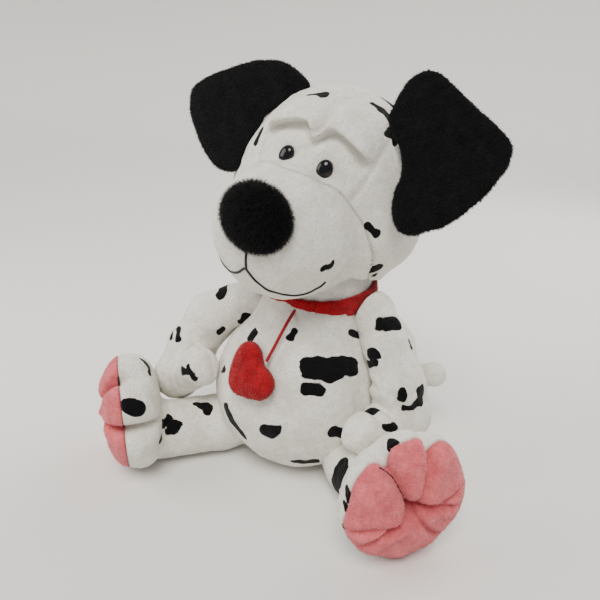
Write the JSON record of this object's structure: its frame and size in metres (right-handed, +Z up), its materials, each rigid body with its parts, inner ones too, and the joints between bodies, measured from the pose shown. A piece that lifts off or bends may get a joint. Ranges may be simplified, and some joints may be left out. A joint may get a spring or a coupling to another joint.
{
  "type": "plush dog",
  "caption": "Seated plush dog with splayed legs, floppy ears, fluffy nose, collar and a stuffed heart pendant; head, ears, arms, legs and tail move.",
  "frame": {"origin": "centre of the flat seat, on the surface that the toy sits on", "axes": "+Z up, the toy faces -Y, its own left is +X"},
  "size_m": [0.2628, 0.2005, 0.2675],
  "materials": {
    "white_plush": "short pile plush, printed black spots",
    "black_plush": "short pile plush",
    "black_fur": "longer brushed pile",
    "red_plush": "short pile plush",
    "red_cord": "round braided cord",
    "pink_plush": "short pile plush",
    "eye_plastic": "gloss",
    "washer_plastic": "matte",
    "black_thread": "embroidery thread",
    "white_thread": "strong thread",
    "fibre_fill": "loose polyester fibre"
  },
  "bodies": {
    "body": {"body_cover": "white_plush", "body_stuffing": "fibre_fill", "collar": "red_plush"},
    "neck": {"neck_stuffing": "fibre_fill"},
    "neck_gather": {"neck_gathering_thread": "white_thread"},
    "head": {"brow_fold": "white_plush", "eye_left": "eye_plastic", "eye_right": "eye_plastic", "eye_washer_left": "washer_plastic", "eye_washer_right": "washer_plastic", "face_panel": "white_plush", "head_cover": "white_plush", "head_stuffing": "fibre_fill", "mouth_thread": "black_thread", "muzzle_cover": "white_plush", "muzzle_stuffing": "fibre_fill", "nose_cover": "black_fur", "nose_stuffing": "fibre_fill"},
    "ear_left": {"ear_left_front": "black_plush", "ear_left_back": "black_plush"},
    "ear_right": {"ear_right_front": "black_plush", "ear_right_back": "black_plush"},
    "arm_left": {"arm_left_cover": "white_plush", "arm_left_stuffing": "fibre_fill"},
    "arm_right": {"arm_right_cover": "white_plush", "arm_right_stuffing": "fibre_fill"},
    "leg_left": {"leg_left_cover": "white_plush", "leg_left_sole": "pink_plush", "leg_left_stuffing": "fibre_fill", "leg_left_toe_threads": "black_thread"},
    "leg_right": {"leg_right_cover": "white_plush", "leg_right_sole": "pink_plush", "leg_right_stuffing": "fibre_fill", "leg_right_toe_threads": "black_thread"},
    "tail": {"tail_cover": "white_plush", "tail_stuffing": "fibre_fill"},
    "heart_cord": {"heart_cord": "red_cord"},
    "heart": {"heart_front": "red_plush", "heart_back": "red_plush", "heart_stuffing": "fibre_fill"}
  },
  "joints": [
    {"name": "head_turn", "type": "hinge", "parent": "body", "child": "neck", "pos_m": [0.005, 0.02, 0.128], "axis": [0, 0, 1], "range_deg": [-20, 20]},
    {"name": "head_nod", "type": "hinge", "parent": "neck", "child": "neck_gather", "pos_m": [0.005, 0.02, 0.128], "axis": [1, 0, 0], "range_deg": [-15, 3]},
    {"name": "head_tilt", "type": "hinge", "parent": "neck_gather", "child": "head", "pos_m": [0.005, 0.02, 0.128], "axis": [0, 1, 0], "range_deg": [-14, 8]},
    {"name": "ear_left_lift", "type": "hinge", "parent": "head", "child": "ear_left", "pos_m": [0.0508, 0.02068, 0.2355], "axis": [0.0676, -0.9144, 0.3991], "range_deg": [0, 45]},
    {"name": "ear_right_lift", "type": "hinge", "parent": "head", "child": "ear_right", "pos_m": [-0.01385, 0.029, 0.25217], "axis": [-0.0676, 0.9144, -0.3991], "range_deg": [0, 60]},
    {"name": "arm_left_lift", "type": "hinge", "parent": "body", "child": "arm_left", "pos_m": [0.0535, 0.014, 0.1075], "axis": [-0.4717, -0.813, -0.3413], "range_deg": [0, 60]},
    {"name": "arm_right_lift", "type": "hinge", "parent": "body", "child": "arm_right", "pos_m": [-0.044, 0.004, 0.107], "axis": [0.7222, 0.6018, -0.341], "range_deg": [0, 60]},
    {"name": "leg_left_swing", "type": "hinge", "parent": "body", "child": "leg_left", "pos_m": [0.0525, -0.0278, 0.0203], "axis": [0, 0, -1], "range_deg": [0, 14]},
    {"name": "leg_right_swing", "type": "hinge", "parent": "body", "child": "leg_right", "pos_m": [-0.0525, -0.0278, 0.0203], "axis": [0, 0, 1], "range_deg": [0, 14]},
    {"name": "tail_wag", "type": "hinge", "parent": "body", "child": "tail", "pos_m": [0.004, 0.0585, 0.026], "axis": [0, 0, 1], "range_deg": [0, 60]},
    {"name": "heart_swing", "type": "hinge", "parent": "body", "child": "heart_cord", "pos_m": [0.005, -0.0192, 0.119], "axis": [0.071, -0.2725, 0.9595], "range_deg": [-10, 20]},
    {"name": "heart_flip", "type": "hinge", "parent": "heart_cord", "child": "heart", "pos_m": [-0.0014, -0.048, 0.0934], "axis": [-0.6864, 0.523, 0.5053], "range_deg": [0, 36]}
  ]
}
